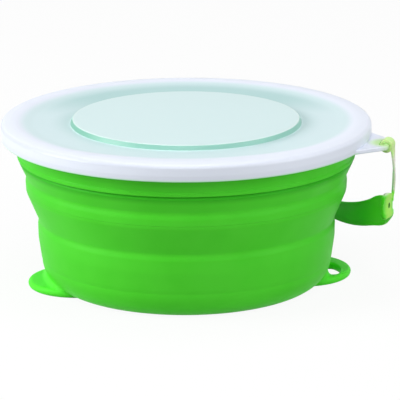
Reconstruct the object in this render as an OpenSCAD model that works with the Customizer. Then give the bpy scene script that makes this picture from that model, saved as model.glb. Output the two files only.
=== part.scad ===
/* [Lower cup] */
// Radius of the flat foot that the bowl stands on
foot_radius = 47.8; // [44:0.1:52]
// Radius of the rounding from the foot up into the wall
foot_rounding = 11.2; // [8:0.1:13]
// Height of the stiff lower cup
cup_height = 27; // [22:0.5:32]
// How far the cup's wall leans outward from the rounding to its top edge
cup_flare = 1.4; // [0.8:0.1:2.4]
// Thickness of the cup's wall
cup_wall = 2.8; // [2.2:0.1:3.4]
// Thickness of the cup's floor
floor_thickness = 3; // [2:0.1:4]

/* [Ears] */
// Direction of the pierced ear, turned from +X towards +Y
ear_turn = 9; // [0:0.5:20]
// How far the pierced ear reaches past the cup's rounding
pierced_ear_reach = 9.1; // [7:0.1:11]
// How far the plain ear reaches past the cup's rounding
plain_ear_reach = 6.1; // [4:0.1:8]
// Radius of an ear's round lobe
lobe_radius = 19; // [16:0.5:22]
// Radius of the hollow corners where an ear runs into the foot
ear_corner_radius = 12; // [8:0.5:18]
// How far inside the foot's edge an ear's outline starts
ear_root_depth = 1.5; // [1:0.1:3]
// Thickness of an ear
ear_thickness = 3.1; // [2.4:0.1:3.6]
// Silicone left between the ear's hole and its tip
ear_margin = 4.8; // [4:0.1:5.4]
// Width of the ear's hole from its flat side to its round side
ear_hole_width = 5.8; // [5:0.1:6.2]
// Rounding of the two corners of the ear's hole
ear_hole_rounding = 2; // [1.4:0.1:2.2]
// Turn of the hole back towards the viewer from the middle of its ear
ear_hole_turn = 4; // [0:0.5:6]

/* [Folds and rings] */
// Thickness of the thin folding walls
fold_thickness = 1.1; // [0.8:0.1:1.4]
// Height of the lower folding wall when the bowl is open
lower_fold_height = 13.5; // [10:0.5:17]
// Height of the upper folding wall when the bowl is open
upper_fold_height = 8.3; // [7:0.1:11]
// How far each folding wall swells outward at mid height
fold_swell = 0.4; // [0.1:0.1:0.8]
// Height of the stiff middle ring
ring_height = 4.5; // [3.5:0.1:6]
// Thickness of the middle ring
ring_wall = 3; // [2.4:0.1:3.6]
// Gap between two nested walls when the bowl is folded flat
nest_gap = 1.8; // [1.4:0.1:2.2]

/* [Collar] */
// Height of the stiff collar under the lid
collar_height = 12.4; // [10:0.2:15]
// Thickness of the collar's wall
collar_wall = 2.4; // [2:0.1:3]
// How far the lip along the collar's lower edge stands out
lip_reach = 0.6; // [0.3:0.1:1]
// Height of that lip
lip_height = 1.4; // [1:0.1:2]
// How far the rim bead at the collar's top stands out
bead_reach = 3.4; // [2.6:0.1:4.2]
// Height of the rim bead
bead_height = 3.4; // [2.6:0.1:4]

/* [Lid] */
// Thickness of the lid's skirt
skirt_thickness = 1.6; // [1.2:0.1:2]
// Clearance between the skirt and the rim bead
skirt_clearance = 0.6; // [0.4:0.1:0.8]
// How far the skirt reaches down from the top of the collar
skirt_drop = 4.8; // [4:0.1:6]
// How far the skirt draws in towards its lower edge
skirt_draw = 0.4; // [0.2:0.1:0.6]
// Thickness of the lid's sheet
lid_thickness = 1.6; // [1.2:0.1:2]
// Height of the crest of the lid's rim above the collar
crest_height = 2.3; // [2:0.1:3]
// Rounding of the lid's outer top edge
crest_rounding = 1.9; // [1.2:0.1:2]
// Width of the slope between the crest and the outer edge
crest_slope = 3.2; // [2.4:0.2:4.4]
// Clearance between the lid's plug and the inside of the collar
plug_clearance = 0.4; // [0.3:0.1:0.6]
// Depth of the ring-shaped recess below the crest
recess_depth = 2; // [1.5:0.1:2.4]
// Radius of the raised disc in the middle of the lid
disc_radius = 46.3; // [38:0.5:52]
// Height of the raised disc above the recess
disc_rise = 2.1; // [1.2:0.1:2.6]
// Run of the slanted sides of the recess and the disc
side_run = 0.9; // [0.6:0.1:1.2]

/* [Lid tab] */
// Direction of the tab, turned from +X towards +Y
tab_turn = -14.2; // [-20:0.1:-8]
// How far the tab's bar lies outside the skirt
tab_reach = 8; // [7:0.2:10]
// Half width of the tab where it leaves the skirt
tab_root_half_width = 16.4; // [14:0.1:19]
// Half width of the tab at its bar
tab_end_half_width = 5.6; // [5.2:0.1:7]
// Thickness of the tab
tab_thickness = 1.8; // [1.4:0.1:2]
// Radius of the bar at the tab's end
bar_radius = 1.3; // [1.1:0.1:1.5]
// Half length of the slot beside the bar
slot_half_length = 3.6; // [3.4:0.1:3.9]
// Width of the slot between the tab's plate and its bar
slot_width = 2.7; // [2.6:0.1:3.2]

/* [Strap] */
// Width of the hanging strip of the strap
strip_width = 6; // [5:0.2:6.2]
// Width of the band that curls round behind the bowl, at its short end
band_width = 11; // [9:0.2:12]
// Thickness of the strap
strap_thickness = 1.3; // [1:0.1:1.6]
// Clearance between the strap's loop and the tab's bar
loop_clearance = 0.3; // [0.3:0.1:0.5]
// Height from the bar down to the band's short end
strip_drop = 24.5; // [22:0.5:30]
// How far the strip ends inward of where it starts
strip_lean = 1.2; // [0.8:0.1:2]
// How far the strip bows outward at mid height
strip_bow = 0.8; // [0.2:0.1:1.4]
// Radius of the band's curl, seen from above
curl_radius = 30; // [24:0.5:34]
// Where the centre of the curl lies along the bar
curl_shift = 4.2; // [2:0.2:6]
// Turn of the curl in front of its centre
curl_front_turn = 19; // [12:0.5:24]
// Turn of the curl behind its centre
curl_back_turn = 40; // [36:0.1:42]
// Length of the band's straight tail
tail_length = 50; // [40:1:56]
// How far the band falls from its short end to its long end
band_fall = 19.5; // [14:0.5:22]
// Rounding of the corners at the band's ends
band_end_radius = 3; // [2:0.1:3.4]
// Radius of the small pin hole near the band's short end
pin_hole_radius = 0.9; // [0.6:0.1:1.1]

/* [Hidden] */
$fn = 96;

// One overrun for every cut
overrun = 1;
// How far a round corner runs past its tangent, so that its outline crosses the next one
tangent_overlap = 0.05;

// Points along a slanting wall line that swells outward at mid height
fold_steps = 6;
function fold_line(r0, z0, r1, z1, swell) =
    [for (i = [0 : fold_steps]) let (t = i / fold_steps)
        [r0 + (r1 - r0) * t + 4 * swell * t * (1 - t), z0 + (z1 - z0) * t]];
function reversed(points) = [for (i = [len(points) - 1 : -1 : 0]) points[i]];
function shifted(points, dr) = [for (p = points) [p[0] + dr, p[1]]];

// Lower cup
cup_low_radius = foot_radius + foot_rounding;
cup_top_radius = cup_low_radius + cup_flare;
inner_rounding = foot_rounding - cup_wall;

// Middle ring, which passes round the cup
ring_inner_radius = cup_top_radius + nest_gap;
ring_outer_radius = ring_inner_radius + ring_wall;
ring_floor = cup_height + lower_fold_height;
ring_top = ring_floor + ring_height;

// Collar, which passes round the ring
collar_inner_radius = ring_outer_radius + nest_gap;
collar_outer_radius = collar_inner_radius + collar_wall;
collar_floor = ring_top + upper_fold_height;
collar_top = collar_floor + collar_height;
bead_radius = collar_outer_radius + bead_reach;
bead_slope = bead_reach / 2;

// Lid, which seats on the collar
skirt_inner_radius = bead_radius + skirt_clearance;
lid_radius = skirt_inner_radius + skirt_thickness;
skirt_floor = collar_top - skirt_drop;
skirt_middle = collar_top - skirt_drop / 2;
crest_top = collar_top + crest_height;
edge_top = collar_top + crest_rounding;
plug_radius = collar_inner_radius - plug_clearance;
recess_radius = plug_radius - lid_thickness;
recess_top = crest_top - recess_depth;
plug_floor = recess_top - lid_thickness;
disc_top = recess_top + disc_rise;

// Tab and bar
bar_distance = lid_radius + tab_reach;
tab_floor = skirt_floor;
bar_height = tab_floor + tab_thickness / 2;
bar_half_length = tab_end_half_width;
slot_outer = bar_distance - bar_radius;
slot_inner = slot_outer - slot_width;
tab_root = skirt_inner_radius * cos(asin(tab_root_half_width / skirt_inner_radius));

// Strap
loop_inner_radius = bar_radius + loop_clearance;
loop_outer_radius = loop_inner_radius + strap_thickness;
loop_middle_radius = loop_inner_radius + strap_thickness / 2;
strip_distance = bar_distance + loop_middle_radius;
strip_join_turn = 7;
curl_centre = [strip_distance - strip_lean - curl_radius, curl_shift];
curl_length = curl_radius * (curl_front_turn + curl_back_turn) * PI / 180;
join_place = curl_radius * (curl_front_turn + strip_join_turn) * PI / 180;
band_length = curl_length + tail_length;

// Outer line of each folding wall
lower_line = fold_line(cup_top_radius, cup_height, ring_outer_radius, ring_floor, fold_swell);
upper_line = fold_line(ring_outer_radius, ring_top, collar_outer_radius - fold_thickness / 2,
    collar_floor, fold_swell);

// Half profile of a cup with a rounded foot corner
module cup_profile(radius, rounding, z, top_radius, top) {
    translate([0, z]) square([radius, top - z]);
    translate([radius, z + rounding]) circle(r = rounding);
    polygon([[0, z + rounding], [radius + rounding, z + rounding], [top_radius, top], [0, top]]);
}

// Outline of one ear: a round lobe with hollow corners where it meets the foot
module ear_outline(reach) {
    lobe_centre = cup_low_radius + reach - lobe_radius;
    root_radius = foot_radius - ear_root_depth;
    a = root_radius + ear_corner_radius;
    b = lobe_radius + ear_corner_radius - tangent_overlap;
    corner_angle = acos((a * a + lobe_centre * lobe_centre - b * b) / (2 * a * lobe_centre));
    corner = [a * cos(corner_angle), a * sin(corner_angle)];
    foot_end = corner * root_radius / a;
    lobe_end = [lobe_centre, 0] + (corner - [lobe_centre, 0]) * (lobe_radius - ear_root_depth) / b;
    translate([lobe_centre, 0]) circle(r = lobe_radius);
    difference() {
        polygon([[0, 0], [foot_end[0], -foot_end[1]], [corner[0], -corner[1]],
            [lobe_end[0], -lobe_end[1]], lobe_end, corner, foot_end]);
        for (side = [-1, 1])
            translate([corner[0], side * corner[1]]) circle(r = ear_corner_radius);
    }
}

// Hole of the pierced ear: a flat side towards the cup, a round side towards the tip
module ear_hole() {
    tip = cup_low_radius + pierced_ear_reach - ear_margin;
    flat_side = tip - ear_hole_width;
    centre = cup_low_radius + pierced_ear_reach - lobe_radius;
    round_radius = tip - centre;
    x = flat_side + ear_hole_rounding;
    reach = round_radius - ear_hole_rounding + tangent_overlap;
    y = sqrt(reach * reach - (x - centre) * (x - centre));
    far = [centre + 2 * (x - centre), 2 * y];
    intersection() {
        translate([centre, 0]) circle(r = round_radius);
        polygon([[flat_side + tangent_overlap, -y], [x, -y], [far[0], -far[1]],
            [tip + round_radius, -far[1]], [tip + round_radius, far[1]], far, [x, y],
            [flat_side + tangent_overlap, y]]);
    }
    for (side = [-1, 1]) translate([x, side * y]) circle(r = ear_hole_rounding);
}

module base_cup() {
    color([0.38, 0.84, 0.20]) {
        difference() {
            union() {
                rotate_extrude() intersection() {
                    cup_profile(foot_radius, foot_rounding, 0, cup_top_radius, cup_height);
                    square([cup_top_radius + overrun, cup_height]);
                }
                rotate([0, 0, ear_turn]) {
                    linear_extrude(ear_thickness) ear_outline(pierced_ear_reach);
                    mirror([1, 0, 0]) linear_extrude(ear_thickness) ear_outline(plain_ear_reach);
                }
            }
            rotate_extrude() intersection() {
                cup_profile(foot_radius, inner_rounding, floor_thickness,
                    cup_top_radius - cup_wall, cup_height + overrun);
                square([cup_top_radius, cup_height + 2 * overrun]);
            }
            rotate([0, 0, ear_turn - ear_hole_turn]) translate([0, 0, -overrun])
                linear_extrude(ear_thickness + 2 * overrun) ear_hole();
        }
    }
}

module lower_fold() {
    color([0.34, 0.78, 0.18])
        rotate_extrude() polygon(concat(lower_line, reversed(shifted(lower_line, -fold_thickness))));
}

module middle_ring() {
    color([0.40, 0.86, 0.22])
        rotate_extrude() translate([ring_inner_radius, ring_floor]) square([ring_wall, ring_height]);
}

module upper_fold() {
    color([0.34, 0.78, 0.18])
        rotate_extrude() polygon(concat(upper_line, reversed(shifted(upper_line, -fold_thickness))));
}

module rim_collar() {
    lip = collar_outer_radius + lip_reach;
    bead_floor = collar_top - bead_height;
    color([0.30, 0.72, 0.16])
        rotate_extrude() polygon([
            [collar_inner_radius, collar_floor], [lip, collar_floor], [lip, collar_floor + lip_height],
            [collar_outer_radius, collar_floor + lip_height + lip_reach],
            [collar_outer_radius, bead_floor - bead_slope], [bead_radius, bead_floor],
            [bead_radius, collar_top], [collar_inner_radius, collar_top]]);
}

// Half profile of the lid, from the skirt over the crest and the recess to the disc
module lid_profile() {
    crest_inner = recess_radius + side_run;
    edge = lid_radius - crest_rounding;
    polygon([
        [0, disc_top - lid_thickness], [disc_radius - lid_thickness, disc_top - lid_thickness],
        [disc_radius - lid_thickness + side_run, plug_floor], [plug_radius, plug_floor],
        [plug_radius, collar_top], [skirt_inner_radius, collar_top],
        [skirt_inner_radius, skirt_floor], [lid_radius - skirt_draw, skirt_floor],
        [lid_radius, skirt_middle], [lid_radius, collar_top],
        [edge, edge_top],
        [lid_radius - crest_slope - crest_rounding, crest_top], [crest_inner, crest_top],
        [recess_radius, recess_top], [disc_radius + side_run, recess_top],
        [disc_radius, disc_top], [0, disc_top]]);
    intersection() {
        translate([edge, collar_top]) circle(r = crest_rounding);
        translate([edge, collar_top]) square(crest_rounding);
    }
}

// Outline of the tab, seen from above, with its slot
module tab_outline() {
    difference() {
        polygon([
            [tab_root, -tab_root_half_width], [bar_distance, -tab_end_half_width],
            [bar_distance, tab_end_half_width], [tab_root, tab_root_half_width]]);
        circle(r = skirt_inner_radius + skirt_thickness / 2);
        translate([slot_inner, -slot_half_length]) square([slot_width + bar_radius + overrun,
            2 * slot_half_length]);
    }
}

module lid() {
    color([0.90, 0.94, 0.97, 0.6]) union() {
        rotate_extrude() lid_profile();
        rotate([0, 0, tab_turn]) {
            translate([0, 0, tab_floor]) linear_extrude(tab_thickness) tab_outline();
            translate([bar_distance, bar_half_length, bar_height]) rotate([90, 0, 0])
                cylinder(r = bar_radius, h = 2 * bar_half_length);
        }
    }
}

// The strap is laid out in the tab's own frame: x outward, y along the bar, z up.
// Seen from above, the band is an arc that a straight tail carries on.
function band_turn(s) = min(s, curl_length) / curl_radius * 180 / PI - curl_front_turn;
function band_side(s) = let (a = band_turn(s)) [cos(a), sin(a), 0];
function band_spot(s) = let (a = band_turn(s), run = max(s - curl_length, 0))
    curl_centre + curl_radius * [cos(a), sin(a)] + run * [-sin(a), cos(a)];

// A value along the band, smooth through shares that lie at even distances
function share_at(shares, t) =
    let (n = len(shares) - 1, k = min(floor(t * n), n - 1), f = t * n - k,
        a = shares[k], b = shares[k + 1],
        start = (b - shares[max(k - 1, 0)]) / 2, end = (shares[min(k + 2, n)] - a) / 2)
    a + (b - a) * f * f * (3 - 2 * f) + start * f * (1 - f) * (1 - f) - end * f * f * (1 - f);

// Height of the band's middle line: it falls gently, steepest near the middle
fall_shares = [0, 0.05, 0.16, 0.32, 0.49, 0.64, 0.77, 0.87, 0.94, 0.98, 1];
function band_middle(s) = let (p = band_spot(s))
    [p[0], p[1], bar_height - strip_drop - band_fall * share_at(fall_shares, s / band_length)];

// Width of the band: a waist where it bends, widest behind it, narrow at its long end
width_shares = [1, 0.88, 0.66, 0.84, 1.12, 1, 0.93, 0.87, 0.8, 0.74, 0.69];

// Half width of the band at a place, rounded off at each end
function band_half(s) = let (e = min(s, band_length - s), c = band_end_radius,
    cut = e >= c ? 0 : c - sqrt(c * c - (c - e) * (c - e)))
    band_width * share_at(width_shares, s / band_length) / 2 - cut;

// Middle line and side direction of the hanging strip, from the loop down into the band
strip_swing_turn = 10;
function strip_middle(t) = let (end = band_middle(join_place), e = t * t * (3 - 2 * t))
    [strip_distance + (end[0] - strip_distance) * e + 4 * strip_bow * t * (1 - t), end[1] * e,
        bar_height + (end[2] - bar_height) * t];
function strip_side(t) = let (a = 4 * strip_swing_turn * t * (1 - t) + strip_join_turn * t)
    [cos(a), sin(a), 0];

// Closed sheet through a row of stations [middle, side, half width]
function unit(v) = v / norm(v);
function station_ring(middle, side, along, half) =
    let (w = unit(cross(unit(along), side)), u = unit(cross(w, unit(along))), h = strap_thickness / 2)
    [middle + w * half + u * h, middle - w * half + u * h, middle - w * half - u * h,
        middle + w * half - u * h];
module sheet(stations) {
    n = len(stations);
    rings = [for (i = [0 : n - 1])
        let (before = stations[max(i - 1, 0)][0], after = stations[min(i + 1, n - 1)][0])
        station_ring(stations[i][0], stations[i][1], after - before, stations[i][2])];
    points = [for (r = rings) each r];
    sides = [for (i = [0 : n - 2], k = [0 : 3]) let (a = 4 * i + k, b = 4 * i + (k + 1) % 4)
        each [[a, b, b + 4], [a, b + 4, a + 4]]];
    polyhedron(points, concat(sides, [[3, 2, 1], [3, 1, 0]],
        [[4 * n - 4, 4 * n - 3, 4 * n - 2], [4 * n - 4, 4 * n - 2, 4 * n - 1]]));
}

// Where the pin hole lies, as a share of the way from the band's short end to the strip
pin_hole_share = 0.47;

// Places along the band, closer together at its rounded ends
end_shares = [0.01, 0.1, 0.3, 0.6, 1];
band_steps = 40;
band_places = concat(
    [for (e = end_shares) e * band_end_radius],
    [for (i = [1 : band_steps - 1])
        band_end_radius + (band_length - 2 * band_end_radius) * i / band_steps],
    [for (i = [len(end_shares) - 1 : -1 : 0]) band_length - end_shares[i] * band_end_radius]);
strip_steps = 14;

module strap_band() {
    sheet([for (s = band_places) [band_middle(s), band_side(s), band_half(s)]]);
}

module strap_strip() {
    sheet([for (i = [0 : strip_steps]) let (t = i / strip_steps)
        [strip_middle(t), strip_side(t), strip_width / 2]]);
}

module strap_loop() {
    translate([bar_distance, 0, bar_height]) rotate([90, 0, 0]) difference() {
        cylinder(r = loop_outer_radius, h = strip_width, center = true);
        cylinder(r = loop_inner_radius, h = strip_width + 2 * overrun, center = true);
    }
}

module lid_strap() {
    spot = band_middle(join_place * pin_hole_share);
    color([0.45, 0.86, 0.25]) rotate([0, 0, tab_turn]) difference() {
        union() {
            strap_loop();
            strap_strip();
            strap_band();
        }
        translate(spot) rotate([0, 90, 0])
            cylinder(r = pin_hole_radius, h = 4 * strap_thickness, center = true);
    }
}

base_cup();
lower_fold();
middle_ring();
upper_fold();
rim_collar();
lid();
lid_strap();
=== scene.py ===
"""A collapsible silicone bowl with its frosted lid and strap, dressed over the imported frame.

Every size is in metres, in the frame's own axes: +Z up along the bowl's axis, -Y towards the viewer.
"""

import logging
import math
from dataclasses import dataclass, field, replace
from enum import Enum
from typing import Iterable, Sequence

import bmesh
import bpy
from mathutils import Matrix, Vector


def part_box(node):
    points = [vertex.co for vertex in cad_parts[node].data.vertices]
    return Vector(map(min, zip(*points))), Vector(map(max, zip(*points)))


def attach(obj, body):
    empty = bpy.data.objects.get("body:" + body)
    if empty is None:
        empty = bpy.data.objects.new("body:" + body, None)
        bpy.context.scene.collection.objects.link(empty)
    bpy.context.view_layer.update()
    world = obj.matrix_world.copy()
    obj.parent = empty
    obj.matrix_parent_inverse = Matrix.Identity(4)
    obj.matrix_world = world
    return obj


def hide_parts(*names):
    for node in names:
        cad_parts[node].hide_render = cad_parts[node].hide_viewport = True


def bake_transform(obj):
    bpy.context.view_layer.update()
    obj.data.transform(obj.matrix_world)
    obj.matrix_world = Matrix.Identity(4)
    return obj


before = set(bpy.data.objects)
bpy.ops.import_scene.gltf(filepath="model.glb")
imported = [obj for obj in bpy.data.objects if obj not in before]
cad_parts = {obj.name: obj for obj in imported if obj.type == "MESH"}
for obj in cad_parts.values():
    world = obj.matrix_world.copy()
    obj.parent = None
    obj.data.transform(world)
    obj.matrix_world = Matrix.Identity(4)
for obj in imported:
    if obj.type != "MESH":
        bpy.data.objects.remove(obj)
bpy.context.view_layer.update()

MM = 0.001
FULL_TURN = 2 * math.pi
SEGMENTS = 256
MERGE_GAP = 0.002 * MM
SHARP_ANGLE = math.radians(40)
FINE_SUPPORT = 0.2 * MM
LOG = logging.getLogger("bowl")

Point = tuple[float, float]
Spot = tuple[float, float, float]
Colour = tuple[float, float, float]
WHITE: Colour = (1.0, 1.0, 1.0)


def linear(red: int, green: int, blue: int) -> Colour:
    """Turns a display colour into the scene's linear colour.

    Args:
        red: the display's red, 0 to 255.
        green: its green.
        blue: its blue.

    Returns:
        The linear colour.
    """
    def channel(level: int) -> float:
        """One channel through the display curve."""
        share = level / 255
        return share / 12.92 if share <= 0.04045 else ((share + 0.055) / 1.055) ** 2.4
    return channel(red), channel(green), channel(blue)


class Signal:
    """A number that runs through a node tree; Python's operators add the Math nodes."""

    def __init__(self, graph: "Graph", socket: bpy.types.NodeSocket) -> None:
        """Holds a socket together with its tree."""
        self.graph = graph
        self.socket = socket

    def _math(self, operation: str, *values: object) -> "Signal":
        """Adds one Math node and returns its result."""
        made = self.graph.node("ShaderNodeMath", {"operation": operation}, dict(enumerate(values)))
        return Signal(self.graph, made.outputs[0])

    def __add__(self, other: object) -> "Signal":
        """Sum."""
        return self._math("ADD", self, other)

    def __radd__(self, other: object) -> "Signal":
        """Sum with a number on the left."""
        return self._math("ADD", other, self)

    def __sub__(self, other: object) -> "Signal":
        """Difference."""
        return self._math("SUBTRACT", self, other)

    def __rsub__(self, other: object) -> "Signal":
        """Difference with a number on the left."""
        return self._math("SUBTRACT", other, self)

    def __mul__(self, other: object) -> "Signal":
        """Product."""
        return self._math("MULTIPLY", self, other)

    def __rmul__(self, other: object) -> "Signal":
        """Product with a number on the left."""
        return self._math("MULTIPLY", other, self)

    def __pow__(self, other: object) -> "Signal":
        """Power."""
        return self._math("POWER", self, other)

    def __mod__(self, other: object) -> "Signal":
        """Remainder."""
        return self._math("MODULO", self, other)

    def __abs__(self) -> "Signal":
        """Size without its sign."""
        return self._math("ABSOLUTE", self)

    def call(self, operation: str, *others: object) -> "Signal":
        """Any other Math operation, such as SINE or ROUND."""
        return self._math(operation, self, *others)

    def ramp(self, start: float, end: float) -> "Signal":
        """A smooth step.

        Args:
            start: the value at which the step is 0.
            end: the value, above start, at which it is 1.

        Returns:
            The step.
        """
        made = self.graph.node(
            "ShaderNodeMapRange", {"interpolation_type": "SMOOTHSTEP"},
            {"Value": self, "From Min": start, "From Max": end, "To Min": 0.0, "To Max": 1.0})
        return Signal(self.graph, made.outputs[0])


class Graph:
    """A node tree under construction, for a material or for Geometry Nodes."""

    def __init__(self, tree: bpy.types.NodeTree) -> None:
        """Takes the tree that it fills."""
        self.tree = tree

    def node(
        self,
        kind: str,
        settings: dict[str, object] | None = None,
        sockets: dict[str | int, object] | None = None,
    ) -> bpy.types.Node:
        """Adds a node.

        Args:
            kind: the node's type name.
            settings: attributes set first; "stops" fills a colour ramp.
            sockets: values, sockets or signals for its inputs, by name or number.

        Returns:
            The new node.
        """
        made = self.tree.nodes.new(kind)
        for key, value in (settings or {}).items():
            if key == "stops":
                self._fill_ramp(made.color_ramp, value)
            else:
                setattr(made, key, value)
        for key, value in (sockets or {}).items():
            self._feed(self._find(made.inputs, key), value)
        return made

    def signal(self, node: bpy.types.Node, output: str | int = 0) -> Signal:
        """The node's output as a number to calculate with."""
        return Signal(self, self._find(node.outputs, output))

    def mix(self, share: object, low: object, high: object) -> bpy.types.NodeSocket:
        """Mixes two colours: low where share is 0, high where it is 1."""
        made = self.node("ShaderNodeMix", {"data_type": "RGBA"}, {0: share, 6: low, 7: high})
        return made.outputs[2]

    def _fill_ramp(self, ramp: bpy.types.ColorRamp, stops: Sequence[tuple[float, Colour]]) -> None:
        """Gives a colour ramp its stops.

        Args:
            ramp: the colour ramp.
            stops: its places, 0 to 1, each with a colour.
        """
        for number, (place, colour) in enumerate(stops):
            stop = ramp.elements[number] if number < 2 else ramp.elements.new(place)
            stop.position = place
            stop.color = (*colour, 1.0)

    def _find(
        self,
        sockets: Iterable[bpy.types.NodeSocket],
        key: str | int,
    ) -> bpy.types.NodeSocket:
        """Finds a socket.

        Args:
            sockets: those to choose from.
            key: its number, or the name of an enabled one.

        Returns:
            The socket.
        """
        listed = list(sockets)
        if isinstance(key, int):
            return listed[key]
        return next(s for s in listed if s.enabled and s.name == key)

    def _feed(self, socket: bpy.types.NodeSocket, value: object) -> None:
        """Links or sets one input.

        Args:
            socket: the input.
            value: a signal or socket to link, or a plain value to set.
        """
        if isinstance(value, Signal):
            value = value.socket
        if isinstance(value, bpy.types.NodeSocket):
            self.tree.links.new(value, socket)
        elif isinstance(value, tuple) and len(value) == 3 and socket.type == "RGBA":
            socket.default_value = (*value, 1.0)
        else:
            socket.default_value = value


class Finish:
    """What every finish shares: a new material whose shader the finish builds."""

    name: str

    def shade(self, graph: Graph) -> bpy.types.Node:
        """Builds the shader and returns its node."""
        raise NotImplementedError

    def material(self) -> bpy.types.Material:
        """The finished material, made once for each name."""
        known = bpy.data.materials.get(self.name)
        if known:
            return known
        made = bpy.data.materials.new(self.name)
        made.use_nodes = True
        made.node_tree.nodes.clear()
        graph = Graph(made.node_tree)
        shader = self.shade(graph)
        graph.node("ShaderNodeOutputMaterial", None, {"Surface": shader.outputs[0]})
        return made

    def coordinates(self, graph: Graph) -> tuple[bpy.types.NodeSocket, Signal, Signal, Signal]:
        """The piece's own coordinates.

        Args:
            graph: the material's tree.

        Returns:
            The place as a vector, and the distances across, along and up.
        """
        place = graph.node("ShaderNodeTexCoord").outputs["Object"]
        split = graph.node("ShaderNodeSeparateXYZ", None, {0: place})
        return place, *(Signal(graph, socket) for socket in split.outputs)

    def noise(self, graph: Graph, place: object, scale: float, detail: float = 3.0) -> Signal:
        """Even noise.

        Args:
            graph: the material's tree.
            place: the coordinates.
            scale: spots per metre.
            detail: how many finer layers it has.

        Returns:
            Values from 0 to 1.
        """
        made = graph.node(
            "ShaderNodeTexNoise", None, {"Vector": place, "Scale": scale, "Detail": detail})
        return Signal(graph, made.outputs[0])

    def grain(
        self,
        graph: Graph,
        place: object,
        scale: float,
        strength: float,
        depth: float,
    ) -> bpy.types.NodeSocket:
        """The normal of a fine, even grain.

        Args:
            graph: the material's tree.
            place: the coordinates.
            scale: spots per metre.
            strength: how strongly the grain shows.
            depth: how deep it is.

        Returns:
            The shading normal.
        """
        height = self.noise(graph, place, scale, 2.0)
        made = graph.node(
            "ShaderNodeBump", None, {"Strength": strength, "Distance": depth, "Height": height})
        return made.outputs[0]

    def close_to(self, graph: Graph, place: object, spot: Spot, near: float, far: float) -> Signal:
        """How close a place is to a spot.

        Args:
            graph: the material's tree.
            place: the coordinates.
            spot: the spot.
            near: the distance up to which the result is 1.
            far: the distance from which it is 0.

        Returns:
            The share from 0 to 1.
        """
        apart = graph.node("ShaderNodeVectorMath", {"operation": "DISTANCE"}, {0: place, 1: spot})
        return 1 - graph.signal(apart, "Value").ramp(near, far)


@dataclass(frozen=True)
class Silicone(Finish):
    """Satin silicone: a full colour with a faint cloudy bloom and a fine moulded skin."""

    name: str = "bowl_silicone"
    colour: Colour = linear(77, 212, 44)
    bloom: Colour = linear(83, 217, 51)
    bloom_scale: float = 45.0
    bloom_range: Point = (0.3, 0.75)
    roughness: float = 0.5
    haze_scale: float = 160.0
    haze_share: float = 0.1
    gloss: float = 0.12
    skin_scale: float = 2600.0
    skin_strength: float = 0.5
    skin_depth: float = 0.015 * MM
    # Painted light: the foot and the ears' tops take a lighter green than the wall.
    foot: Colour = linear(92, 242, 60)
    foot_light_range: Point = (1.0 * MM, 9.0 * MM)
    # Painted shade: a darker green in the crease under the collar's lip.
    crease: Colour = linear(50, 178, 26)
    crease_shade_range: Point = (49.0 * MM, 53.2 * MM)
    crease_shade_edge: float = 0.1 * MM
    glow: float = 0.1
    glow_radius: float = 2.0 * MM
    glow_colours: Colour = (0.35, 1.0, 0.25)

    def tint(self, graph: Graph, place: object, height: Signal) -> object:
        """The colour: a cloudy bloom, painted shade in the crease under the lip, painted light at
        the foot.

        Args:
            graph: the material's tree.
            place: the coordinates.
            height: the height above the floor.

        Returns:
            The colour over the surface.
        """
        cloud = self.noise(graph, place, self.bloom_scale).ramp(*self.bloom_range)
        wall = graph.mix(cloud, self.colour, self.bloom)
        # Painted shade in the crease under the lip, ending sharply at the lip.
        low, high = self.crease_shade_range
        shade = height.ramp(low, high) * (1 - height.ramp(high, high + self.crease_shade_edge))
        wall = graph.mix(shade, wall, self.crease)
        # Painted light: a lighter green low down, over the foot and the ears.
        return graph.mix(height.ramp(*self.foot_light_range), self.foot, wall)

    def shade(self, graph: Graph) -> bpy.types.Node:
        """Builds the shader.

        Args:
            graph: the material's tree.

        Returns:
            The shader's node.
        """
        place, _, _, height = self.coordinates(graph)
        haze = self.noise(graph, place, self.haze_scale) * self.haze_share
        return graph.node("ShaderNodeBsdfPrincipled", None, {
            "Base Color": self.tint(graph, place, height),
            "Roughness": self.roughness - self.haze_share / 2 + haze,
            "Normal": self.grain(graph, place, self.skin_scale, self.skin_strength, self.skin_depth),
            "Subsurface Weight": self.glow,
            "Subsurface Radius": self.glow_colours,
            "Subsurface Scale": self.glow_radius,
            "Specular IOR Level": self.gloss})


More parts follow.
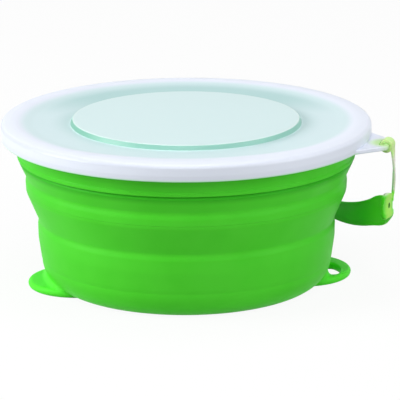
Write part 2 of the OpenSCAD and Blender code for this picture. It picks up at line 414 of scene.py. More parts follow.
@dataclass(frozen=True)
class ThinSilicone(Silicone):
    """The strap's silicone, with painted light where it is thin and light comes through."""

    name: str = "thin_silicone"
    colour: Colour = linear(82, 218, 38)
    bloom: Colour = linear(88, 224, 44)
    glow: float = 0.4
    # Painted light: the band's curl and short end are lighter, as though light came through them.
    curl: Colour = linear(124, 252, 74)
    curl_light_range: Point = (6.0 * MM, 20.0 * MM)
    lit: Colour = linear(176, 255, 104)
    lit_range: Point = (-19.0 * MM, -14.0 * MM)
    tip_range: Point = (-25.5 * MM, -21.5 * MM)
    # Painted light: the hanging strip and the loop are paler, as though light came through them.
    pale: Colour = linear(238, 254, 224)
    pale_light_range: Point = (41.0 * MM, 43.0 * MM)
    faint: Colour = linear(206, 246, 160)
    faint_light_range: Point = (56.0 * MM, 60.0 * MM)
    # Painted shade: a dark green round the small pin hole.
    pin: Colour = linear(60, 130, 40)
    pin_shade_place: Spot = (0.0, 0.0, 0.0)
    pin_radius: float = 0.9 * MM
    pin_shade_fade: float = 1.6

    def tint(self, graph: Graph, place: object, height: Signal) -> object:
        """The colour: painted light at the short end, up the strip and round the bar, with painted
        shade at the pin hole.

        Args:
            graph: the material's tree.
            place: the coordinates.
            height: the height above the floor.

        Returns:
            The colour over the surface.
        """
        along = graph.signal(graph.node("ShaderNodeSeparateXYZ", None, {0: place}), 1)
        # Painted light over the band's curl and short end.
        tip = along.ramp(*self.tip_range)
        curl = (1 - along.ramp(*self.curl_light_range)) * tip
        near = (1 - along.ramp(*self.lit_range)) * tip
        band = graph.mix(curl, super().tint(graph, place, height), self.curl)
        band = graph.mix(near, band, self.lit)
        # Painted shade round the pin hole.
        hole = self.close_to(
            graph, place, self.pin_shade_place, self.pin_radius, self.pin_radius * self.pin_shade_fade)
        band = graph.mix(hole, band, self.pin)
        # Painted light up the strip and round the bar.
        strip = graph.mix(height.ramp(*self.pale_light_range), band, self.pale)
        return graph.mix(height.ramp(*self.faint_light_range), strip, self.faint)


@dataclass(frozen=True)
class Frosted(Finish):
    """Frosted translucent plastic: white at the rim, tinted over the bowl's green inside by painted
    light, with painted shade and a painted highlight.
    """

    name: str = "lid_frosted"
    roughness: float = 0.4
    haze_scale: float = 220.0
    haze_share: float = 0.08
    grain_scale: float = 1800.0
    grain_strength: float = 0.4
    grain_depth: float = 0.012 * MM
    cloud_scale: float = 30.0
    cloud_range: Point = (0.2, 0.8)
    cloud_share: float = 0.12
    rim_alpha: float = 0.97
    thin_share: float = 0.07
    inner_radius: float = 68.6 * MM
    fade: float = 4.6 * MM
    front_shift: float = 4.2 * MM
    front_range: Point = (-62.0 * MM, -45.0 * MM)
    # Painted light: the disc takes a pale green-blue, where the bowl's green shows through.
    disc: Colour = linear(216, 240, 241)
    disc_radius: float = 46.8 * MM
    disc_step: float = 0.4 * MM
    # Painted highlight: a lighter line along the disc's edge.
    edge: Colour = linear(226, 247, 244)
    edge_highlight_share: float = 0.7
    edge_highlight_range: Point = (-1.92 * MM, -1.2 * MM)
    # Painted light: the recess takes the same pale green-blue.
    recess: Colour = linear(216, 239, 243)
    # Painted shade: the recess is darker beside the disc and behind it, where the bowl's dim inside
    # shows through.
    deep: Colour = linear(176, 216, 215)
    near_shade_reach: float = 9.0 * MM
    near_shade_share: float = 0.5
    near_shade_range: Point = (-45.0 * MM, 5.0 * MM)
    back_shade_reach: Point = (57.5 * MM, 66.0 * MM)
    back_shade_range: Point = (8.0 * MM, 42.0 * MM)
    # Painted shade: the sloped walls inside the rim take a darker teal, darker still on the left,
    # with the bowl's green showing through.
    wall: Colour = linear(142, 203, 186)
    shaded_wall: Colour = linear(112, 180, 156)
    wall_shade_range: Point = (0.05, 0.5)
    wall_shade_share: float = 0.95
    rim: Colour = linear(232, 238, 251)
    # Painted shade: the rim is darker where it bends over from the top to the side, most on the
    # left.
    bend: Colour = linear(200, 206, 220)
    bend_shade_share: float = 0.75
    bend_shade_range: Point = (-60.0 * MM, 40.0 * MM)
    # Painted light: a mint line along the skirt's lower edge, the bowl's green caught in the
    # plastic.
    mint: Colour = linear(204, 242, 218)
    skirt_green_light_range: Point = (61.2 * MM, 61.9 * MM)
    skirt_green_light_reach: Point = (75.2 * MM, 76.2 * MM)
    # Painted light: the strap's green round the bar, seen through the frosted tab.
    through: Colour = linear(196, 240, 160)
    strap_light_place: Spot = (0.0, 0.0, 0.0)
    strap_light_range: Point = (4.0 * MM, 9.0 * MM)

    def centre(self, graph: Graph, place: object, along: Signal, radius: Signal) -> object:
        """The disc with its painted highlight along the edge, and the recess with painted shade
        beside and behind it.

        Args:
            graph: the material's tree.
            place: the coordinates.
            along: the distance away from the viewer.
            radius: the distance from the lid's middle.

        Returns:
            The colour inside the rim.
        """
        off_disc = radius.ramp(self.disc_radius - self.disc_step, self.disc_radius)
        # Painted shade in the recess beside and behind the disc, broken a little by the cloud.
        near = 1 - radius.ramp(self.disc_radius, self.disc_radius + self.near_shade_reach)
        near = near * along.ramp(*self.near_shade_range) * self.near_shade_share
        back = (1 - radius.ramp(*self.back_shade_reach)) * along.ramp(*self.back_shade_range)
        cloud = self.noise(graph, place, self.cloud_scale).ramp(*self.cloud_range)
        deep = near.call("MAXIMUM", back) * off_disc
        deep = deep * (1 - self.cloud_share + cloud * self.cloud_share)
        # Painted highlight along the disc's edge.
        edge = radius.ramp(*(self.disc_radius + step for step in self.edge_highlight_range))
        disc = graph.mix(edge * self.edge_highlight_share, self.disc, self.edge)
        return graph.mix(deep, graph.mix(off_disc, disc, self.recess), self.deep)

    def border(
        self,
        graph: Graph,
        place: object,
        height: Signal,
        radius: Signal,
        bend: Signal,
    ) -> object:
        """The white rim, with painted shade where it bends over, painted green light along the
        skirt's edge and the strap's green painted near the bar.

        Args:
            graph: the material's tree.
            place: the coordinates.
            height: the height above the floor.
            radius: the distance from the lid's middle.
            bend: how far the surface bends over from the top to the side, which sets the painted
                shade.

        Returns:
            The colour of the rim, the skirt and the tab.
        """
        # Painted green light along the skirt's lower edge.
        low = (1 - height.ramp(*self.skirt_green_light_range)) * (1 - radius.ramp(*self.skirt_green_light_reach))
        rim = graph.mix(bend * self.bend_shade_share, self.rim, self.bend)
        rim = graph.mix(low, rim, self.mint)
        # Painted green light from the strap round the bar.
        through = self.close_to(graph, place, self.strap_light_place, *self.strap_light_range)
        return graph.mix(through, rim, self.through)

    def shade(self, graph: Graph) -> bpy.types.Node:
        """Builds the shader.

        Args:
            graph: the material's tree.

        Returns:
            The shader's node.
        """
        place, across, along, height = self.coordinates(graph)
        radius = (across * across + along * along) ** 0.5
        front = 1 - along.ramp(*self.front_range)
        reach = radius + front * self.front_shift
        inside = 1 - reach.ramp(self.inner_radius - self.fade, self.inner_radius)
        facing = graph.node("ShaderNodeNewGeometry").outputs["Normal"]
        upright = graph.signal(graph.node("ShaderNodeSeparateXYZ", None, {0: facing}), 2)
        # Painted shade on the sloped walls inside the rim.
        slope = (1 - abs(upright)).ramp(*self.wall_shade_range) * inside * self.wall_shade_share
        # Painted shade where the rim bends over, fading out towards the right.
        bend = (upright * (1 - upright) * 4).call("MAXIMUM", 0.0)
        bend = bend * (1 - inside) * (1 - across.ramp(*self.bend_shade_range))
        rim = self.border(graph, place, height, radius, bend)
        centre = self.centre(graph, place, along, radius)
        # Painted shade: the walls are darker on the left side.
        wall = graph.mix(across.ramp(-self.disc_radius, 0.0), self.shaded_wall, self.wall)
        haze = self.noise(graph, place, self.haze_scale) * self.haze_share
        return graph.node("ShaderNodeBsdfPrincipled", None, {
            "Base Color": graph.mix(slope, graph.mix(inside, rim, centre), wall),
            "Roughness": self.roughness - self.haze_share / 2 + haze,
            "Alpha": self.rim_alpha - inside * self.thin_share,
            "Normal": self.grain(
                graph, place, self.grain_scale, self.grain_strength, self.grain_depth)})


class Slot(Enum):
    """The record's material slots."""

    SILICONE = "silicone"
    LID = "lid_plastic"
    STRAP = "strap_silicone"


class Joint(Enum):
    """How one solid meets another: added to it or cut away from it."""

    ADDED = "UNION"
    CUT = "DIFFERENCE"


@dataclass(frozen=True)
class Corner:
    """One corner of an outline, rounded by a radius."""

    across: float
    up: float
    radius: float = 0.0


def arc(centre: Point, radius: float, start: float, end: float, steps: int) -> list[Point]:
    """Points along an arc.

    Args:
        centre: the arc's centre.
        radius: its radius.
        start: where it starts, in radians.
        end: where it ends.
        steps: how many steps it has.

    Returns:
        The points, both ends included.
    """
    return [
        (centre[0] + radius * math.cos(a), centre[1] + radius * math.sin(a))
        for a in (start + (end - start) * i / steps for i in range(steps + 1))]


def rounded(corners: Sequence[Corner], closed: bool = True, steps_per_turn: int = 48) -> list[Point]:
    """Rounds the corners of an outline.

    Args:
        corners: the outline's corners in order.
        closed: whether the last corner joins the first.
        steps_per_turn: how many steps a whole circle would have.

    Returns:
        The outline's points.
    """
    points: list[Point] = []
    last = len(corners) - 1
    spots = [Vector((corner.across, corner.up)) for corner in corners]
    for i, (corner, here) in enumerate(zip(corners, spots)):
        if corner.radius == 0 or (not closed and i in (0, last)):
            points.append(tuple(here))
            continue
        before = spots[i - 1] - here
        after = spots[(i + 1) % len(spots)] - here
        half = before.angle(after) / 2
        reach = corner.radius / math.tan(half)
        before.normalize()
        after.normalize()
        middle = here + (before + after).normalized() * corner.radius / math.sin(half)
        first = here + before * reach - middle
        final = here + after * reach - middle
        start = math.atan2(first.y, first.x)
        sweep = (math.atan2(final.y, final.x) - start + math.pi) % FULL_TURN - math.pi
        steps = max(3, round(abs(sweep) / FULL_TURN * steps_per_turn))
        points += arc(tuple(middle), corner.radius, start, start + sweep, steps)
    return points


def supported(points: Sequence[Point], closed: bool, edge: float, step: float) -> list[Point]:
    """Adds points to long straight runs, so that shading and bending stay even.

    Args:
        points: the outline.
        closed: whether the last point joins the first.
        edge: how far from a run's ends its first added points lie.
        step: the longest run left between points.

    Returns:
        The outline with the added points.
    """
    result: list[Point] = []
    pairs = list(zip(points, points[1:]))
    if closed:
        pairs.append((points[-1], points[0]))
    for a, b in pairs:
        length = math.dist(a, b)
        result.append(a)
        if length > 3 * edge:
            shares = [edge / length]
            inner = max(1, math.ceil((length - 2 * edge) / step))
            shares += [(edge + (length - 2 * edge) * k / inner) / length for k in range(1, inner)]
            shares.append(1 - edge / length)
            result += [(a[0] + (b[0] - a[0]) * s, a[1] + (b[1] - a[1]) * s) for s in shares]
    if not closed:
        result.append(points[-1])
    return result


def resampled(points: Sequence[Point], count: int) -> list[Point]:
    """The same line with points at even distances.

    Args:
        points: the line.
        count: how many points the new one has.

    Returns:
        The new points.
    """
    lengths = [0.0]
    for a, b in zip(points, points[1:]):
        lengths.append(lengths[-1] + math.dist(a, b))
    result: list[Point] = []
    place = 0
    for i in range(count):
        target = lengths[-1] * i / (count - 1)
        while place < len(lengths) - 2 and lengths[place + 1] < target:
            place += 1
        span = lengths[place + 1] - lengths[place] or 1.0
        share = (target - lengths[place]) / span
        a, b = points[place], points[place + 1]
        result.append((a[0] + (b[0] - a[0]) * share, a[1] + (b[1] - a[1]) * share))
    return result


def between(line: Sequence[Point], low: float, high: float) -> list[Point]:
    """The stretch of a rising line from one height to another.

    Args:
        line: the whole line.
        low: the height at which the stretch starts.
        high: the height at which it ends.

    Returns:
        The stretch, with a point at each of the two heights.
    """
    def at(height: float) -> Point:
        """The line's point at a height.

        Args:
            height: the height.

        Returns:
            The point.
        """
        for (r, z), (after_r, after_z) in zip(line, line[1:]):
            if z <= height <= after_z:
                share = (height - z) / ((after_z - z) or 1.0)
                return r + (after_r - r) * share, height
        raise ValueError(f"no point at height {height}")
    inner = [(r, z) for r, z in line if low + MERGE_GAP < z < high - MERGE_GAP]
    return [at(low), *inner, at(high)]


class TurnedShell:
    """The Geometry Nodes tree that turns a half profile round the bowl's axis."""

    def __init__(self) -> None:
        """Makes the tree with its inputs and its output."""
        tree = bpy.data.node_groups.new("turned_shell", "GeometryNodeTree")
        for name, kind in (
            ("Profile", "NodeSocketGeometry"), ("Segments", "NodeSocketInt"),
            ("Closing Rows", "NodeSocketInt"), ("Merge Gap", "NodeSocketFloat"),
            ("Finish", "NodeSocketMaterial"),
        ):
            tree.interface.new_socket(name=name, in_out="INPUT", socket_type=kind)
        tree.interface.new_socket(name="Shell", in_out="OUTPUT", socket_type="NodeSocketGeometry")
        self.tree = tree
        self._build(Graph(tree))

    def _build(self, graph: Graph) -> None:
        """Fills the tree: a grid whose rows follow the profile and whose columns turn.

        Args:
            graph: the tree.
        """
        given = graph.node("NodeGroupInput")
        size = graph.node(
            "GeometryNodeAttributeDomainSize", {"component": "MESH"}, {0: given.outputs["Profile"]})
        count = graph.signal(size, "Point Count")
        rows = count + Signal(graph, given.outputs["Closing Rows"])
        segments = Signal(graph, given.outputs["Segments"])
        grid = graph.node(
            "GeometryNodeMeshGrid", None,
            {"Size X": 1.0, "Size Y": 1.0, "Vertices X": rows, "Vertices Y": segments + 1})
        place = graph.node("GeometryNodeInputPosition").outputs[0]
        split = graph.node("ShaderNodeSeparateXYZ", None, {0: place})
        row = ((graph.signal(split, 0) + 0.5) * (rows - 1)).call("ROUND") % count
        turn = (0.5 - graph.signal(split, 1)) * FULL_TURN
        sample = graph.node(
            "GeometryNodeSampleIndex", {"data_type": "FLOAT_VECTOR"},
            {"Geometry": given.outputs["Profile"], "Value": place, "Index": row})
        spot = graph.node("ShaderNodeSeparateXYZ", None, {0: sample.outputs[0]})
        radius = graph.signal(spot, 0)
        turned = graph.node(
            "ShaderNodeCombineXYZ", None,
            {0: radius * turn.call("COSINE"), 1: radius * turn.call("SINE"), 2: spot.outputs[2]})
        moved = graph.node(
            "GeometryNodeSetPosition", None,
            {"Geometry": grid.outputs[0], "Position": turned.outputs[0]})
        merged = graph.node(
            "GeometryNodeMergeByDistance", None,
            {"Geometry": moved.outputs[0], "Distance": given.outputs["Merge Gap"]})
        smooth = graph.node("GeometryNodeSetShadeSmooth", None, {0: merged.outputs[0]})
        real = graph.node("GeometryNodeRealizeInstances", None, {0: smooth.outputs[0]})
        painted = graph.node(
            "GeometryNodeSetMaterial", None,
            {"Geometry": real.outputs[0], "Material": given.outputs["Finish"]})
        graph.node("NodeGroupOutput", None, {0: painted.outputs[0]})

    def turn(
        self,
        name: str,
        profile: Sequence[Point],
        closed: bool,
        finish: Finish,
    ) -> bpy.types.Object:
        """Turns a profile into a plain mesh object.

        Args:
            name: the piece's name.
            profile: (radius, height) points, the outer side running upward.
            closed: whether the profile is a ring, which leaves the axis free.
            finish: the finish that the whole shell takes.

        Returns:
            The new object.
        """
        line = bpy.data.meshes.new(f"{name}_profile")
        edges = [(i, i + 1) for i in range(len(profile) - 1)]
        line.from_pydata([(r, 0.0, z) for r, z in profile], edges, [])
        made = bpy.data.objects.new(name, line)
        bpy.context.collection.objects.link(made)
        modifier = made.modifiers.new("turn", "NODES")
        modifier.node_group = self.tree
        values = {
            "Segments": SEGMENTS, "Closing Rows": int(closed), "Merge Gap": MERGE_GAP,
            "Finish": finish.material()}
        for item in self.tree.interface.items_tree:
            if item.name in values:
                modifier[item.identifier] = values[item.name]
        flatten(made)
        return made


def flatten(made: bpy.types.Object) -> None:
    """Replaces an object's mesh by its evaluated one and drops its modifiers.

    Args:
        made: the object.
    """
    bpy.context.view_layer.update()
    evaluated = made.evaluated_get(bpy.context.evaluated_depsgraph_get())
    mesh = bpy.data.meshes.new_from_object(evaluated)
    made.modifiers.clear()
    made.data = mesh
    mesh.name = made.name


def mesh_object(
    name: str,
    points: Sequence[Sequence[float]],
    faces: Sequence[Sequence[int]],
    finish: Finish,
) -> bpy.types.Object:
    """A smooth object with welded points and outward normals.

    Args:
        name: the object's name.
        points: its points.
        faces: its faces, each a row of point numbers.
        finish: the finish that it takes.

    Returns:
        The new object.
    """
    mesh = bpy.data.meshes.new(name)
    mesh.from_pydata([tuple(p) for p in points], [], [tuple(f) for f in faces])
    work = bmesh.new()
    work.from_mesh(mesh)
    bmesh.ops.remove_doubles(work, verts=work.verts, dist=MERGE_GAP)
    bmesh.ops.recalc_face_normals(work, faces=work.faces)
    if work.calc_volume(signed=True) < 0:
        bmesh.ops.reverse_faces(work, faces=work.faces)
    work.to_mesh(mesh)
    work.free()
    mesh.shade_smooth()
    mesh.materials.append(finish.material())
    made = bpy.data.objects.new(name, mesh)
    bpy.context.collection.objects.link(made)
    return made


def join_solids(
    base: bpy.types.Object,
    tool: bpy.types.Object,
    joint: Joint,
) -> None:
    """Adds a solid to another or cuts it away, and removes the tool.

    Args:
        base: the object that is changed.
        tool: the solid that is added or cut away.
        joint: which of the two.
    """
    modifier = base.modifiers.new("join", "BOOLEAN")
    modifier.operation = joint.value
    modifier.solver = "EXACT"
    modifier.object = tool
    flatten(base)
    bpy.data.objects.remove(tool)
    work = bmesh.new()
    work.from_mesh(base.data)
    bmesh.ops.remove_doubles(work, verts=work.verts, dist=MERGE_GAP)
    bmesh.ops.dissolve_degenerate(work, edges=work.edges, dist=MERGE_GAP)
    work.to_mesh(base.data)
    work.free()
    base.data.shade_smooth()
    base.data.set_sharp_from_angle(angle=SHARP_ANGLE)


def ring_faces(rings: int, sides: int, close_rings: bool = False) -> list[tuple[int, ...]]:
    """Faces of a tube.

    Args:
        rings: how many rings of points it has.
        sides: how many points each ring has.
        close_rings: whether the last ring joins the first.

    Returns:
        The faces, each a row of four point numbers.
    """
    span = rings if close_rings else rings - 1
    return [
        (i * sides + k, i * sides + (k + 1) % sides,
         (i + 1) % rings * sides + (k + 1) % sides, (i + 1) % rings * sides + k)
        for i in range(span) for k in range(sides)]


@dataclass
class Bowl:
    """The bowl: a stiff cup, ring and collar joined by two thin folding walls."""

    foot_radius: float = 47.8 * MM
    foot_rounding: float = 11.2 * MM
    cup_radius: float = 60.4 * MM
    cup_wall: float = 2.8 * MM
    floor: float = 3.0 * MM
    swell: float = 0.1 * MM
    swell_start: float = 7.0 * MM
    swell_rounding: float = 20.0 * MM
    shoulder: float = 0.35 * MM
    shoulder_low: float = 1.7 * MM
    shoulder_high: float = 0.6 * MM
    shoulder_rounding: float = 4.0 * MM
    dip_rounding: float = 2.5 * MM
    ring_foot_draw: float = 0.1 * MM
    ring_foot_drop: float = 0.9 * MM
    ring_foot_rounding: float = 5.0 * MM
    fold: float = 1.1 * MM
    tuck: float = 1.0 * MM
    tuck_gap: float = 0.06 * MM
    ring_wall: float = 3.0 * MM
    ring_edge: float = 0.6 * MM
    collar_wall: float = 2.4 * MM
    lip: float = 0.3 * MM
    lip_height: float = 1.4 * MM
    lip_rounding: float = 0.4 * MM
    collar_taper: float = 1.2 * MM
    lip_overhang: float = 1.5 * MM
    crease: float = 0.7 * MM
    crease_height: float = 1.2 * MM
    crease_rounding: float = 0.3 * MM
    bead_height: float = 3.4 * MM
    bead_rounding: float = 1.2 * MM
    edge_rounding: float = 0.5 * MM
    inner_edge: float = 0.7 * MM
    mouth_edge: float = 0.8 * MM
    inner_bend: float = 6.0 * MM
    floor_draw: float = 0.6 * MM
    nest_gap: float = 1.8 * MM
    ear_turn: float = math.radians(9.0)
    pierced_reach: float = 9.1 * MM
    plain_reach: float = 6.1 * MM
    lobe_radius: float = 19.0 * MM
    ear_corner: float = 12.0 * MM
    ear_root: float = 1.5 * MM
    ear_thickness: float = 3.1 * MM
    ear_fillet: float = 2.0 * MM
    hole_margin: float = 4.8 * MM
    hole_width: float = 5.8 * MM
    hole_corner: float = 2.0 * MM
    hole_turn: float = math.radians(4.0)
    hole_flare: float = 0.9 * MM
    hole_ease: float = 0.6
    hole_tip_steps: int = 40
    hole_corner_steps: int = 16
    hole_flare_steps: int = 6
    section_points: int = 64
    foot_shares: tuple[float, ...] = (0.0, 0.25, 0.5, 0.75, 0.9, 0.985)
    fine_turn: float = math.radians(0.45)
    coarse_turn: float = math.radians(1.5)
    fine_reach: float = math.radians(36)
    line_steps: int = 160
    edge_support: float = 0.3 * MM
    wall_step: float = 1.5 * MM
    inner_step: float = 3.0 * MM
    ring_step: float = 2.0 * MM
    finish: Silicone = field(default_factory=Silicone)

    def __post_init__(self) -> None:
        """Reads the heights and outer radii from the frame."""
        self.cup_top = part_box("base_cup")[1].z
        self.ring_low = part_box("middle_ring")[0].z
        self.ring_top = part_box("middle_ring")[1].z
        self.ring_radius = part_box("middle_ring")[1].y
        self.collar_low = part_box("rim_collar")[0].z
        self.collar_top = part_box("rim_collar")[1].z
        self.bead_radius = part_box("rim_collar")[1].y
        self.collar_inner = self.ring_radius + self.nest_gap
        self.collar_radius = self.collar_inner + self.collar_wall
        self.low_radius = self.foot_radius + self.foot_rounding

    def lobe_centre(self, reach: float) -> float:
        """Distance from the axis to the centre of an ear's round lobe."""
        return self.low_radius + reach - self.lobe_radius

    def ear_outline(self, turn: float) -> float:
        """How far the ears' outline lies from the axis.

        Args:
            turn: the direction, in radians.

        Returns:
            The distance, or 0 where there is no ear.
        """
        off = (turn - self.ear_turn + math.pi / 2) % FULL_TURN - math.pi / 2
        lobe_centre = self.lobe_centre(self.pierced_reach if off < math.pi / 2 else self.plain_reach)
        off = abs((off + math.pi / 2) % math.pi - math.pi / 2)
        root = self.foot_radius - self.ear_root
        a = root + self.ear_corner
        b = self.lobe_radius + self.ear_corner
        corner_turn = math.acos((a * a + lobe_centre ** 2 - b * b) / (2 * a * lobe_centre))
        corner = Vector((a * math.cos(corner_turn), a * math.sin(corner_turn)))
        lobe = Vector((lobe_centre, 0))
        meeting = lobe + (corner - lobe) * self.lobe_radius / b
        if off < math.atan2(meeting.y, meeting.x):
            side = lobe_centre * math.sin(off)
            return lobe_centre * math.cos(off) + math.sqrt(self.lobe_radius ** 2 - side ** 2)
        if off < corner_turn:
            side = a * math.sin(corner_turn - off)
            return a * math.cos(corner_turn - off) - math.sqrt(self.ear_corner ** 2 - side ** 2)
        return 0.0

    def foot_line(self, reach: float) -> list[Point]:
        """One section from the flat foot out round an ear's edge and up to the wall.

        Args:
            reach: how far the ear's outline lies from the axis there.

        Returns:
            Points at even distances along the section.
        """
        big = self.foot_rounding
        centre = Vector((self.foot_radius, big))
        edge_radius = self.ear_thickness / 2
        edge = Vector((reach - edge_radius, edge_radius))
        if edge.x <= self.foot_radius:
            return resampled(arc(tuple(centre), big, -math.pi / 2, 0.0, 160), self.section_points)
        small = self.ear_fillet
        flat_from = self.foot_radius + math.sqrt(
            (big + small) ** 2 - (big - self.ear_thickness - small) ** 2)
        if edge.x >= flat_from:
            fillet = Vector((flat_from, self.ear_thickness + small))
            top = math.pi / 2
        else:
            along = edge - centre
            gap = along.length
            base = ((big + small) ** 2 - (edge_radius + small) ** 2 + gap * gap) / (2 * gap)
            side = math.sqrt(max((big + small) ** 2 - base * base, 0.0))
            along.normalize()
            fillet = centre + along * base + Vector((-along.y, along.x)) * side
            top = math.atan2(fillet.y - edge.y, fillet.x - edge.x)
        into = math.atan2(centre.y - fillet.y, centre.x - fillet.x) % FULL_TURN
        out = math.atan2(fillet.y - centre.y, fillet.x - centre.x)
        line = arc(tuple(edge), edge_radius, -math.pi / 2, top, 60)
        line += arc(tuple(fillet), small, top + math.pi, into, 24)
        line += arc(tuple(centre), big, out, 0.0, 120)
        return resampled(line, self.section_points)

    def wall_line(self) -> list[Point]:
        """The outside of the whole soft wall, from the foot's rounding up to the collar's lip."""
        meeting = self.collar_radius - self.lip_overhang
        corners = [
            Corner(self.low_radius, self.foot_rounding - self.tuck),
            Corner(self.cup_radius, self.cup_top - self.swell_start, self.swell_rounding),
            *self.shoulder_corners(self.cup_radius, self.cup_top),
            Corner(
                self.ring_radius - self.ring_foot_draw, self.ring_low - self.ring_foot_drop,
                self.ring_foot_rounding),
            *self.shoulder_corners(self.ring_radius, self.ring_top),
            Corner(meeting, self.collar_low - self.crease_height, self.mouth_edge),
            Corner(meeting - self.crease, self.collar_low, self.crease_rounding),
            Corner(meeting - self.crease, self.collar_low + 2 * self.tuck)]
        line = rounded(corners, False, self.line_steps)
        return supported(line, False, self.edge_support, self.wall_step)

    def shoulder_corners(self, radius: float, top: float) -> list[Corner]:
        """The soft shoulder at a ring's upper edge.

        Args:
            radius: the ring's radius.
            top: the height of its upper edge.

        Returns:
            A faint swell and the dip above it.
        """
        return [
            Corner(radius + self.swell, top - self.shoulder_low, self.shoulder_rounding),
            Corner(radius - self.shoulder, top + self.shoulder_high, self.dip_rounding)]

    def cup_upper_line(self) -> list[Point]:
        """The section from the wall's foot over the cup's edge and down to the floor's middle."""
        inner = self.cup_radius - self.cup_wall
        inner_low = self.low_radius - self.cup_wall
        outer = between(self.wall_line(), self.foot_rounding, self.cup_top)
        inner_rounding = self.foot_rounding - self.cup_wall
        corners = [
            Corner(*outer[-1]),
            Corner(inner, self.cup_top, self.inner_edge),
            Corner(inner_low, self.floor + inner_rounding, self.inner_bend),
            Corner(inner_low - self.floor_draw, self.floor, inner_rounding - self.floor_draw),
            Corner(0.0, self.floor)]
        line = rounded(corners, closed=False)
        return outer + supported(line, False, self.edge_support, self.inner_step)[1:]

    def cup(self) -> bpy.types.Object:
        """The stiff lower cup with its floor and its two ears, one of them pierced."""
        turns: list[float] = []
        turn = 0.0
        while turn < FULL_TURN - self.coarse_turn / 2:
            turns.append(turn)
            off = abs((turn - self.ear_turn + math.pi / 2) % math.pi - math.pi / 2)
            turn += self.fine_turn if off < self.fine_reach else self.coarse_turn
        upper = self.cup_upper_line()[1:]
        points: list[tuple[float, float, float]] = []
        for turn in turns:
            foot = self.foot_line(self.ear_outline(turn))
            flat = [(foot[0][0] * share, 0.0) for share in self.foot_shares]
            points += [
                (r * math.cos(turn), r * math.sin(turn), z) for r, z in (*flat, *foot, *upper)]
        rows = len(self.foot_shares) + self.section_points + len(upper)
        faces = [
            (i * rows + k, (i + 1) % len(turns) * rows + k,
             (i + 1) % len(turns) * rows + k + 1, i * rows + k + 1)
            for i in range(len(turns)) for k in range(rows - 1)]
        made = mesh_object("bowl_cup", points, faces, self.finish)
        join_solids(made, self.hole_cutter(), Joint.CUT)
        return made

    def hole_cutter(self) -> bpy.types.Object:
        """A spool of the ear hole's outline, flared so that it leaves rounded edges."""
        tip = self.low_radius + self.pierced_reach - self.hole_margin
        lobe = self.lobe_centre(self.pierced_reach)
        big = tip - lobe
        across = tip - self.hole_width + self.hole_corner
        side = math.sqrt((big - self.hole_corner) ** 2 - (across - lobe) ** 2)
        swing = math.atan2(side, across - lobe)
        corner, steps = self.hole_corner, self.hole_corner_steps
        outline = arc((lobe, 0.0), big, -swing, swing, self.hole_tip_steps)
        outline += arc((across, side), corner, swing, math.pi, steps)
        outline += arc((across, -side), corner, math.pi, FULL_TURN - swing, steps)[:-2]
        flare, top = self.hole_flare, self.ear_thickness
        bend = [math.pi / 2 * i / self.hole_flare_steps for i in range(self.hole_flare_steps + 1)]
        lower = [(flare - flare * math.cos(a), flare - flare * math.sin(a)) for a in bend]
        upper = [(top - z, off) for z, off in reversed(lower)]
        levels = [(-MM, flare), *lower, *upper, (top + self.ear_fillet, flare)]
        points = []
        for height, off in levels:
            for i, (x, y) in enumerate(outline):
                before, after = outline[i - 1], outline[(i + 1) % len(outline)]
                normal = Vector((after[1] - before[1], before[0] - after[0])).normalized()
                share = min(max((normal.x + 1) / self.hole_ease, 0.0), 1.0)
                spot = Vector((x, y)) + normal * off * share
                spot.rotate(Matrix.Rotation(self.ear_turn - self.hole_turn, 2))
                points.append((spot.x, spot.y, height))
        sides = len(outline)
        faces = ring_faces(len(levels), sides)
        faces.append(tuple(range(sides)))
        faces.append(tuple(range((len(levels) - 1) * sides, len(levels) * sides)))
        return mesh_object("ear_hole", points, faces, self.finish)

    def folding_wall(self, low: float, high: float) -> list[Point]:
        """Closed section of a thin folding wall whose ends are tucked into the stiff rings.

        Args:
            low: height at which its outer side leaves the lower ring.
            high: height at which its outer side meets the upper one.

        Returns:
            The closed section.
        """
        middle = between(self.wall_line(), low, high)
        below = between(self.wall_line(), low - self.tuck, low)[:-1]
        above = between(self.wall_line(), high, high + self.tuck)[1:]
        outer = [
            *((r - self.tuck_gap, z) for r, z in below), *middle,
            *((r - self.tuck_gap, z) for r, z in above)]
        return outer + [(r - self.fold, z) for r, z in reversed(outer)]

    def ring_section(self) -> list[Point]:
        """Closed section of the stiff middle ring."""
        inner = self.ring_radius - self.ring_wall
        outer = between(self.wall_line(), self.ring_low, self.ring_top)
        back = rounded([
            Corner(*outer[-1]), Corner(inner, self.ring_top, self.ring_edge),
            Corner(inner, self.ring_low, self.ring_edge), Corner(*outer[0])], closed=False)
        return outer + supported(back, False, self.edge_support, self.ring_step)[1:-1]

    def collar_section(self) -> list[Point]:
        """Closed section of the stiff collar, with the lip below and the rim bead above."""
        foot = self.collar_radius - self.collar_taper
        lip_top = self.collar_low + self.lip_height
        bead_low = self.collar_top - self.bead_height
        slope = (self.bead_radius - self.collar_radius) / 2
        corners = [
            Corner(self.collar_inner, self.collar_low, self.edge_rounding),
            Corner(foot + self.lip, self.collar_low, self.lip_rounding),
            Corner(foot + self.lip, lip_top, self.lip_rounding),
            Corner(foot, lip_top + self.lip, self.edge_rounding),
            Corner(self.collar_radius, bead_low - slope, self.bead_rounding),
            Corner(self.bead_radius, bead_low, self.mouth_edge),
            Corner(self.bead_radius, self.collar_top, self.bead_rounding),
            Corner(self.collar_inner, self.collar_top, self.mouth_edge)]
        return supported(rounded(corners), True, self.edge_support, self.ring_step)

